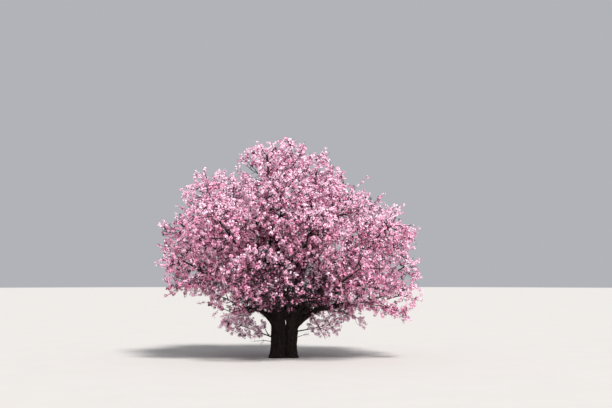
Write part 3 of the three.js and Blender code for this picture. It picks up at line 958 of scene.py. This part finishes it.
def fused(points, faces, voxel):
    """Overlapping closed surfaces fused into one skin by a voxel remesh: its points, normals and faces."""
    mesh = bpy.data.meshes.new("trunk_draft")
    mesh.from_pydata((points * MM).tolist(), [], faces.tolist())
    draft = bpy.data.objects.new("trunk_draft", mesh)
    bpy.context.scene.collection.objects.link(draft)
    remesh = draft.modifiers.new("fuse", "REMESH")
    remesh.mode = "VOXEL"
    remesh.voxel_size = voxel
    draft.modifiers.new("soften", "SMOOTH").iterations = SOFTENING
    graph = bpy.context.evaluated_depsgraph_get()
    skin = bpy.data.meshes.new_from_object(draft.evaluated_get(graph))
    skin.calc_loop_triangles()
    spots = read_rows(skin.vertices, "co", np.float32).astype(float) / MM
    normals = read_rows(skin.vertex_normals, "vector", np.float32).astype(float)
    triangles = read_rows(skin.loop_triangles, "vertices", np.int32)
    bpy.data.objects.remove(draft)
    bpy.data.meshes.remove(mesh)
    bpy.data.meshes.remove(skin)
    return spots, normals, triangles


def trunk_surface(parts, voxel, depth):
    """The trunk's skin: the parts fused, and each point moved along its normal by the bark's relief."""
    drafts = [
        limb_surface(limb, low, high, DRAFT_GRID, 0, (0, SINK_LENGTH if high < 1 else 0))
        for limb, low, high in parts
    ]
    points, normals, faces = fused(*joined(drafts), voxel)
    return points + normals * bark_relief(*nearest_limb(points, parts), depth)[:, None], faces


def limbs_beyond(limbs, parts, grid, depth):
    """The rest of each limb, from a little inside the fused skin to its tip, or the whole of it where the
    skin has none of it."""
    fused_to = {limb.name: high for limb, _, high in parts}
    surfaces = []
    for limb in limbs:
        low, sink = 0.0, 0
        if limb.name in fused_to:
            length = limb_frames(limb, np.array((fused_to[limb.name],))).length[0]
            low, sink = share_at_length(limb, length - 2 * SINK_LENGTH), SINK_LENGTH
        surfaces.append(limb_surface(limb, low, 1.0, grid, depth, (sink, 0)))
    return joined(surfaces)


def cut_at_ground(piece):
    """Cut a piece flat at ground level, and close the cut."""
    work = bmesh.new()
    work.from_mesh(piece.data)
    cut = bmesh.ops.bisect_plane(
        work, geom=work.verts[:] + work.edges[:] + work.faces[:], dist=NEAR, plane_co=(0, 0, 0),
        plane_no=(0, 0, 1), clear_inner=True,
    )
    rim = [part for part in cut["geom_cut"] if isinstance(part, bmesh.types.BMEdge)]
    bmesh.ops.triangle_fill(work, edges=rim, use_beauty=True, normal=(0, 0, -1))
    bmesh.ops.triangulate(work, faces=work.faces[:])
    work.to_mesh(piece.data)
    work.free()


def flower_pattern(tipped):
    """One flower of radius 1 that faces up: a middle, and petals that widen to a blunt tip or a plain rim.

    A petal's two corners have its angle plus and minus half its width, and stand as high as the cup."""
    half = math.radians(PETAL_HALF_WIDTH)
    waist = PETAL_WAIST if tipped else 1.0
    tip = [(0, 1.0, PETAL_CUP[1])] if tipped else []
    corners = np.array([(-half, waist, PETAL_CUP[0]), *tip, (half, waist, PETAL_CUP[0])])
    turn, reach, height = corners.T[..., None]
    angle = circle(PETALS) + turn
    height = np.broadcast_to(height, angle.shape)
    rows = np.stack((np.cos(angle) * reach, np.sin(angle) * reach, height), -1)
    k = np.arange(angle.size - PETALS)
    faces = np.stack((np.zeros_like(k), k + 1, k + 1 + PETALS), 1)
    return np.concatenate((np.zeros((1, 3)), rows.reshape(-1, 3))), faces


def set_flowers(places, facing, radius, turn, tipped):
    """Copies of the flower at many places: its points times the radius, turned about its facing."""
    pattern, faces = flower_pattern(tipped)
    across, other = pair_across(facing)
    cos, sin = np.cos(turn)[:, None], np.sin(turn)[:, None]
    axes = np.stack((across * cos + other * sin, other * cos - across * sin, facing), axis=1)
    return copies(places[:, None] + radius[:, None, None] * (pattern @ axes), faces)


def set_sprays(fullness, rng):
    """Where each spray sits on its twig, the twig's direction there, and how near the mass's edge and how
    high in the mass it is."""
    levels, edges, lifts = grow_twigs(fullness)
    curves = levels[-1]
    count = len(SPRAY_PLACES)
    place = np.array(SPRAY_PLACES)[None] + rng.normal(0, SPRAY_JITTER, (len(curves), count))
    place = np.clip(place, SPRAY_FIRST, 1.0)
    middle = curve_point(curves[:, None], place).reshape(-1, 3)
    way = curve_way(curves[:, None], place).reshape(-1, 3)
    edge = np.repeat(edges, count) * (1 - EDGE_ALONG + EDGE_ALONG * place.ravel())
    return middle, way, edge, np.repeat(lifts, count)


def spray_tones(middle, edge, lift, rng):
    """Each spray's tone from 0, shade, to 5, pale: where a value stands among the tone steps.

    Painted light and shade: the value rises with the height in the crown, to the right, near the mass's
    edge and high in the mass, where the light falls, and on the low shoots. The shaded core is e^-((x/a)^2
    + (y/b)^2) times a share that falls from 1 to 0 up to its top. As painted shade it lowers the value, and
      it and the
    inside of a mass set some sprays to the near-black shade tone."""
    low, high = SHADED_CORE_HEIGHTS
    height = middle[:, 2]
    shaded_core = np.exp(-((((middle[:, :2] - SHADED_CORE_MIDDLE) / SHADED_CORE_SIZE) ** 2).sum(axis=1)))
    shaded_core = shaded_core * np.clip((high - height) / (high - low), 0, 1) * (height > SHOOT_TOP)
    # Painted light and shade: paler up the crown, to the right, at a mass's edge and top and on the low
    # shoots, deeper in the shaded core; the random spread is the blossom's own variation.
    value = (
        TONE_MIDDLE
        + np.interp(height, PAINTED_LIGHT_HEIGHTS, PAINTED_LIGHT_AT_HEIGHTS)
        + PAINTED_LIGHT_ACROSS * middle[:, 0]
        + PAINTED_LIGHT_OUTWARDS * (edge - OUTER_SHARE)
        + PAINTED_LIGHT_UPWARDS * lift
        - SHADED_CORE_DEPTH * shaded_core
        + SHOOT_PAINTED_LIGHT * (height < SHOOT_TOP)
        + rng.normal(0, TONE_SPREAD, len(middle))
    )
    # Painted shade: some sprays in the shaded core and inside the masses take the near-black shade tone.
    value[rng.random(len(middle)) < CORE_SHADE * shaded_core + INNER_SHADE * (edge < OUTER_SHARE)] = 0
    return np.searchsorted(TONE_STEPS, value)


def spray_flowers(middle, way, size, rng):
    """The flowers of each spray: places and facings round its twig, leaning out along it.

    Flower j of a spray faces the direction at j times the golden angle round the twig."""
    shape = (len(middle), SPRAY_FLOWERS)
    across, other = pair_across(way)
    angle = np.arange(SPRAY_FLOWERS)[None] * GOLDEN_ANGLE + rng.random((len(middle), 1)) * 2 * math.pi
    lean = rng.uniform(*SPRAY_LEAN, shape)
    facing = unit(
        np.cos(angle)[..., None] * across[:, None]
        + np.sin(angle)[..., None] * other[:, None]
        + lean[..., None] * way[:, None]
    )
    stalk = size[:, None] * rng.uniform(*STALK_REACH, shape)
    slide = size[:, None] * rng.normal(0, SPRAY_SLIDE, shape)
    root = middle[:, None] + way[:, None] * slide[..., None]
    places = root + facing * stalk[..., None]
    return root, places, unit(facing + rng.normal(0, FACING_SPREAD, facing.shape))


@functools.lru_cache(maxsize=2)
def plan_flowers(fullness, outer_radius, inner_radius):
    """Every flower, spray by spray: its root on the twig, place, facing, radius, turn, tone and kind."""
    rng = np.random.default_rng(SEED + 1)
    middle, way, edge, lift = set_sprays(fullness, rng)
    tone = spray_tones(middle, edge, lift, rng)
    outer = edge > OUTER_SHARE
    size = np.where(outer, outer_radius, inner_radius) / MM
    root, places, facing = (rows.reshape(-1, 3) for rows in spray_flowers(middle, way, size, rng))
    shape = (len(middle), SPRAY_FLOWERS)
    return {
        "root": root, "place": places, "facing": facing,
        "radius": (size[:, None] * rng.uniform(*FLOWER_SIZES, shape)).ravel(),
        "turn": (rng.random(shape) * 2 * math.pi).ravel(),
        "tone": np.repeat(tone, SPRAY_FLOWERS), "outer": np.repeat(outer, SPRAY_FLOWERS),
    }


def flowers_planned(context):
    """The flowers for the settings of the twigs and the blossom."""
    settings = context.scene.cherry_blossom
    return plan_flowers(context.scene.cherry_twigs.fullness, settings.outer_radius, settings.inner_radius)


def tone_flowers(flowers, tone):
    """The mesh of all flowers of one tone, the outer ones with tipped petals."""
    made = []
    for tipped in (True, False):
        chosen = (flowers["tone"] == tone) & (flowers["outer"] == tipped)
        own = (flowers[key][chosen] for key in ("place", "facing", "radius", "turn"))
        made.append(set_flowers(*own, tipped))
    return joined(made)


def add_piece(name, points, faces, material, smooth=False):
    """A mesh object of triangles from whole arrays, its points in millimetres, which rides on the root."""
    mesh = bpy.data.meshes.new(name)
    mesh.vertices.add(len(points))
    mesh.vertices.foreach_set("co", (points * MM).astype(np.float32).ravel())
    mesh.loops.add(faces.size)
    mesh.loops.foreach_set("vertex_index", faces.astype(np.int32).ravel())
    mesh.polygons.add(len(faces))
    mesh.polygons.foreach_set("loop_start", np.arange(0, faces.size, 3, dtype=np.int32))
    mesh.polygons.foreach_set("use_smooth", np.full(len(faces), smooth))
    mesh.update(calc_edges=True)
    mesh.materials.append(material)
    piece = bpy.data.objects.new(name, mesh)
    bpy.context.scene.collection.objects.link(piece)
    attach(piece, "root")
    return piece


def set_inputs(node, values):
    """Set a node's inputs by their names."""
    for name, value in values.items():
        node.inputs[name].default_value = value


def mottle_group():
    """A node group that mixes two colours by soft noise on Object coordinates.

    A mix node's inputs 6 and 7 are its two colours, and its output 2 is their mix."""
    group = bpy.data.node_groups.new("Mottle", "ShaderNodeTree")
    for side, name, kind in (
        ("INPUT", "Dark", "Color"), ("INPUT", "Light", "Color"), ("INPUT", "Scale", "Float"),
        ("INPUT", "Stretch", "Vector"), ("OUTPUT", "Color", "Color"), ("OUTPUT", "Value", "Float"),
    ):
        group.interface.new_socket(name=name, in_out=side, socket_type=f"NodeSocket{kind}")
    kinds = (
        "NodeGroupInput", "NodeGroupOutput", "ShaderNodeTexCoord", "ShaderNodeVectorMath",
        "ShaderNodeTexNoise", "ShaderNodeMapRange", "ShaderNodeMix",
    )
    entry, leave, coordinates, stretch, noise, ramp, mix = (group.nodes.new(kind) for kind in kinds)
    stretch.operation = "MULTIPLY"
    mix.data_type = "RGBA"
    set_inputs(noise, {"Detail": NOISE_DETAIL, "Roughness": NOISE_ROUGHNESS})
    set_inputs(ramp, {"From Min": NOISE_RANGE[0], "From Max": NOISE_RANGE[1]})
    for source, output, target, socket in (
        (coordinates, "Object", stretch, 0), (entry, "Stretch", stretch, 1),
        (stretch, "Vector", noise, "Vector"), (entry, "Scale", noise, "Scale"),
        (noise, "Fac", ramp, "Value"), (ramp, "Result", mix, "Factor"), (ramp, "Result", leave, "Value"),
        (entry, "Dark", mix, 6), (entry, "Light", mix, 7), (mix, 2, leave, "Color"),
    ):
        group.links.new(source.outputs[output], target.inputs[socket])
    return group


def mottled_material(name, dark, light, finish):
    """A material whose colour, and bump where its finish has one, come from the Mottle group."""
    material = bpy.data.materials.new(name)
    material.use_nodes = True
    nodes, links = material.node_tree.nodes, material.node_tree.links
    shader = nodes["Principled BSDF"]
    set_inputs(shader, {"Roughness": finish.roughness, "Specular IOR Level": finish.sheen})
    mottle = nodes.new("ShaderNodeGroup")
    mottle.node_tree = bpy.data.node_groups.get("Mottle") or mottle_group()
    set_inputs(mottle, {"Dark": (*dark, 1), "Light": (*light, 1)})
    set_inputs(mottle, {"Scale": finish.scale, "Stretch": finish.stretch})
    links.new(mottle.outputs["Color"], shader.inputs["Base Color"])
    if finish.bump:
        relief = nodes.new("ShaderNodeBump")
        set_inputs(relief, {"Strength": finish.bump, "Distance": BUMP_DISTANCE})
        links.new(mottle.outputs["Value"], relief.inputs["Height"])
        links.new(relief.outputs["Normal"], shader.inputs["Normal"])
    return material


def varied(colour, shares):
    """A colour times each of two shares, as the darkest and the lightest of a material."""
    return [np.minimum(np.array(colour) * share, BRIGHTEST) for share in shares]


def number_setting(name, description, default, **more):
    """A number that a user can change."""
    return bpy.props.FloatProperty(name=name, description=description, default=default, **more)


def length_setting(name, description, default):
    """A length in metres that a user can change."""
    return number_setting(name, description, default, unit="LENGTH")


def colour_setting(name, description, default):
    """A colour that a user can change."""
    return bpy.props.FloatVectorProperty(
        name=name, description=description, default=default, subtype="COLOR"
    )


class BarkSettings(bpy.types.PropertyGroup):
    """Sizes and colours of the bark."""

    relief: length_setting("Relief", "How deep the bark's ridges are", 0.017)
    voxel: length_setting("Fusing size", "Grain at which the stems of the trunk are fused", 0.016)
    # Partly painted shade: the bark's own dark colour is darkened to nearly black, for a trunk in shade.
    dark: colour_setting("Furrow colour", "Colour between the ridges", (0.0035, 0.0028, 0.0028))
    light: colour_setting("Ridge colour", "Colour on the ridges", (0.030, 0.023, 0.020))


class TwigSettings(bpy.types.PropertyGroup):
    """Number and colours of the twigs."""

    fullness: number_setting(
        "Fullness", "How many twigs a mass has, as a share of the usual", 1.0, subtype="FACTOR"
    )
    dark: colour_setting("Shaded colour", "Darker colour of the twigs", (0.012, 0.007, 0.007))
    light: colour_setting("Lit colour", "Lighter colour of the twigs", (0.040, 0.023, 0.020))


class BlossomSettings(bpy.types.PropertyGroup):
    """Sizes and colours of the flowers."""

    outer_radius: length_setting("Outer flower radius", "Radius of the flowers near a mass's edge", 0.034)
    inner_radius: length_setting("Inner flower radius", "Radius of the flowers inside a mass", 0.038)
    # The shade tone is painted shade, near black; the other tones are the blossom's pinks, dealt by place
    # as painted light and shade besides a random spread.
    shade: colour_setting("Shade", "Colour of the sprays in the shade", (0.024, 0.007, 0.013))
    deep: colour_setting("Deep", "Colour of the deep sprays", (0.52, 0.135, 0.27))
    rose: colour_setting("Rose", "Colour of the rose sprays", (0.80, 0.285, 0.47))
    pink: colour_setting("Pink", "Colour of the pink sprays", (0.89, 0.405, 0.60))
    light: colour_setting("Light", "Colour of the light sprays", (0.92, 0.515, 0.69))
    pale: colour_setting("Pale", "Colour of the palest sprays", (0.92, 0.65, 0.78))


class StalkSettings(bpy.types.PropertyGroup):
    """Size and colour of the flower stalks."""

    width: length_setting("Stalk width", "Width of a flower stalk at its foot", 0.007)
    colour: colour_setting("Stalk colour", "Colour of the stalks", (0.16, 0.035, 0.05))


class StageSettings(bpy.types.PropertyGroup):
    """The floor, the lights and the camera."""

    floor: colour_setting("Floor colour", "Colour of the floor", (0.50, 0.49, 0.47))
    key: number_setting("Key light", "Strength of the key light", 5.3)
    sky: number_setting("Soft light", "Strength of the soft light", 0.48)
    lens: number_setting("Lens", "Focal length of the camera in millimetres", 70.0)
    eye: length_setting("Eye height", "Height of the camera above the ground", 3.2)


class CHERRY_OT_bark(bpy.types.Operator):
    """Make the bark of the trunk, of the leaders and of the boughs"""

    bl_idname = "cherry.bark"
    bl_label = "Bark of trunk and boughs"

    def execute(self, context):
        settings = context.scene.cherry_bark
        depth = settings.relief / MM
        leaders, boughs, _ = plan_tree()
        bark = mottled_material("tree_bark", settings.dark, settings.light, BARK_FINISH)
        parts = fused_parts()
        nodes = {limb.name for limb in (*leaders, *boughs)}
        trunk = add_piece("bark_trunk", *trunk_surface(parts, settings.voxel, depth), bark, smooth=True)
        cut_at_ground(trunk)
        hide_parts("trunk", *(limb.name for limb, _, _ in parts if limb.name in nodes))
        tops = limbs_beyond(leaders, parts, LEADER_GRID, depth)
        upper = add_piece("bark_leaders", *tops, bark, smooth=True)
        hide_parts(*(leader.name for leader in leaders))
        arms = limbs_beyond(boughs, parts, BOUGH_GRID, depth)
        spurs = limbs_beyond(plan_spurs(), parts, SPUR_GRID, depth)
        outer = add_piece("bark_boughs", *joined((arms, spurs)), bark, smooth=True)
        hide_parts(*(bough.name for bough in boughs))
        return {"FINISHED"}


class CHERRY_OT_twigs(bpy.types.Operator):
    """Make the twigs of every mass, level by level"""

    bl_idname = "cherry.twigs"
    bl_label = "Twigs"

    def execute(self, context):
        settings = context.scene.cherry_twigs
        bark = mottled_material("twig_bark", settings.dark, settings.light, TWIG_FINISH)
        stems, trailing = [], []
        for mass in plan_tree()[2]:
            stems.append(tubes(mass.stem[None], np.array(STEM_TAPER) * mass.entry.radius, *STEM_TUBE))
            trailing += [(curve[None], trail.radius) for trail, curve in trail_curves(mass)]
        trailing += bare_curves(np.random.default_rng(SEED + 3))
        stems += [tubes(curves, radii, *TRAIL_TUBE) for curves, radii in trailing]
        grown = [
            tubes(curves, habit.radius, habit.sides, habit.rings)
            for curves, habit in zip(grow_twigs(settings.fullness)[0], LEVELS)
        ]
        main = add_piece("twigs_main", *joined(stems + grown[:-1]), bark, smooth=True)
        fine = add_piece("twigs_fine", *grown[-1], bark, smooth=True)
        return {"FINISHED"}


class CHERRY_OT_blossom(bpy.types.Operator):
    """Set flowers in sprays along the finest twigs, each spray in one tone"""

    bl_idname = "cherry.blossom"
    bl_label = "Blossom"

    def execute(self, context):
        flowers = flowers_planned(context)
        names = [f"blossom_{mass.name}" for mass in plan_tree()[2]]
        for tone, (name, slot) in enumerate(TONES.items()):
            colours = varied(getattr(context.scene.cherry_blossom, name), PETAL_VARIATION)
            material = mottled_material(f"petals_{name}", *colours, PETAL_FINISH)
            points, faces = tone_flowers(flowers, tone)
            parts = max(1, math.ceil(len(faces) / PIECE_FACES))
            for part, share in enumerate(np.array_split(faces, parts)):
                used, compact = np.unique(share, return_inverse=True)
                compact = compact.reshape(-1, 3)
                piece = add_piece(f"blossom_{name}_{part + 1}", points[used], compact, material)
                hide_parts(*names)
        return {"FINISHED"}


class CHERRY_OT_stalks(bpy.types.Operator):
    """Make a stalk for each of the outer flowers, from its twig to the back of the flower"""

    bl_idname = "cherry.stalks"
    bl_label = "Flower stalks"

    def execute(self, context):
        settings = context.scene.cherry_stalks
        flowers = flowers_planned(context)
        root, tip = (flowers[key][flowers["outer"]] for key in ("root", "place"))
        half = pair_across(unit(tip - root))[0] * settings.width / MM / 2
        points = np.stack((root - half, root + half, tip), axis=1).reshape(-1, 3)
        faces = np.arange(len(points)).reshape(-1, 3)
        material = mottled_material("stalk", *varied(settings.colour, STALK_VARIATION), STALK_FINISH)
        add_piece("blossom_stalks", points, faces, material)
        return {"FINISHED"}


class CHERRY_OT_stage(bpy.types.Operator):
    """Make the floor, the lights and the camera at the photo's viewing angle"""

    bl_idname = "cherry.stage"
    bl_label = "Stage"

    def execute(self, context):
        settings = context.scene.cherry_stage
        scene = context.scene
        rings, sides = FLOOR_GRID
        ring, turn = np.meshgrid(np.linspace(0, 1, rings) ** 2 * FLOOR_REACH, circle(sides), indexing="ij")
        height = np.full(ring.shape, FLOOR_HEIGHT)
        points = np.stack((ring * np.cos(turn), ring * np.sin(turn), height), -1)
        ground = mottled_material("floor", *varied(settings.floor, FLOOR_VARIATION), FLOOR_FINISH)
        floor = add_piece("floor", points.reshape(-1, 3), wall_faces(rings, sides)[:, ::-1], ground)
        world = bpy.data.worlds.new("soft_light")
        world.use_nodes = True
        set_inputs(world.node_tree.nodes["Background"], {"Color": SKY_COLOUR, "Strength": settings.sky})
        scene.world = world
        scene.view_settings.view_transform = "Standard"
        key = bpy.data.lights.new("key", "SUN")
        key.energy = settings.key
        key.angle = math.radians(KEY_WIDTH)
        key.color = KEY_COLOUR
        lamp = bpy.data.objects.new("key", key)
        lamp.rotation_euler = [math.radians(angle) for angle in KEY_TURN]
        scene.collection.objects.link(lamp)
        make_camera(scene, settings)
        return {"FINISHED"}


def make_camera(scene, settings):
    """A camera that sees the tree as the photo does: its scale, its foot's pixel and its eye height."""
    pixels = PHOTO_SIZE[0] * settings.lens / SENSOR
    distance = pixels * PHOTO_SCALE * MM
    middle_x = (PHOTO_SIZE[0] / 2 - PHOTO_FOOT[0]) * PHOTO_SCALE * MM
    middle_z = (PHOTO_FOOT[1] - PHOTO_SIZE[1] / 2) * PHOTO_SCALE * MM
    data = bpy.data.cameras.new("camera")
    data.lens = settings.lens
    data.sensor_width = SENSOR
    data.clip_end = SIGHT
    camera = bpy.data.objects.new("camera", data)
    camera.location = (middle_x, -distance, settings.eye)
    camera.rotation_euler = (math.pi / 2 + math.atan((middle_z - settings.eye) / distance), 0, 0)
    scene.collection.objects.link(camera)
    scene.camera = camera


class CHERRY_PT_panel(bpy.types.Panel):
    """The tree's settings and the steps that make it"""

    bl_idname = "CHERRY_PT_panel"
    bl_label = "Cherry tree"
    bl_space_type = "VIEW_3D"
    bl_region_type = "UI"
    bl_category = "Cherry tree"

    def draw(self, context):
        for name, owner in SETTINGS.items():
            box = self.layout.box()
            for key in owner.__annotations__:
                box.prop(getattr(context.scene, name), key)
        for operator in OPERATORS:
            self.layout.operator(operator.bl_idname)


SETTINGS = {
    "cherry_bark": BarkSettings,
    "cherry_twigs": TwigSettings,
    "cherry_blossom": BlossomSettings,
    "cherry_stalks": StalkSettings,
    "cherry_stage": StageSettings,
}
OPERATORS = (CHERRY_OT_bark, CHERRY_OT_twigs, CHERRY_OT_blossom, CHERRY_OT_stalks, CHERRY_OT_stage)


def register():
    """Register the settings, the operators and the panel."""
    for name, owner in SETTINGS.items():
        bpy.utils.register_class(owner)
        setattr(bpy.types.Scene, name, bpy.props.PointerProperty(type=owner))
    for owner in (*OPERATORS, CHERRY_PT_panel):
        bpy.utils.register_class(owner)


def unregister():
    """Undo register."""
    for owner in (CHERRY_PT_panel, *reversed(OPERATORS)):
        bpy.utils.unregister_class(owner)
    for name, owner in SETTINGS.items():
        delattr(bpy.types.Scene, name)
        bpy.utils.unregister_class(owner)


def main():
    """Make every piece in order."""
    register()
    bpy.ops.cherry.stage()
    bpy.ops.cherry.bark()
    bpy.ops.cherry.twigs()
    bpy.ops.cherry.blossom()
    bpy.ops.cherry.stalks()
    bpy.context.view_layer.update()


if __name__ == "__main__":
    main()
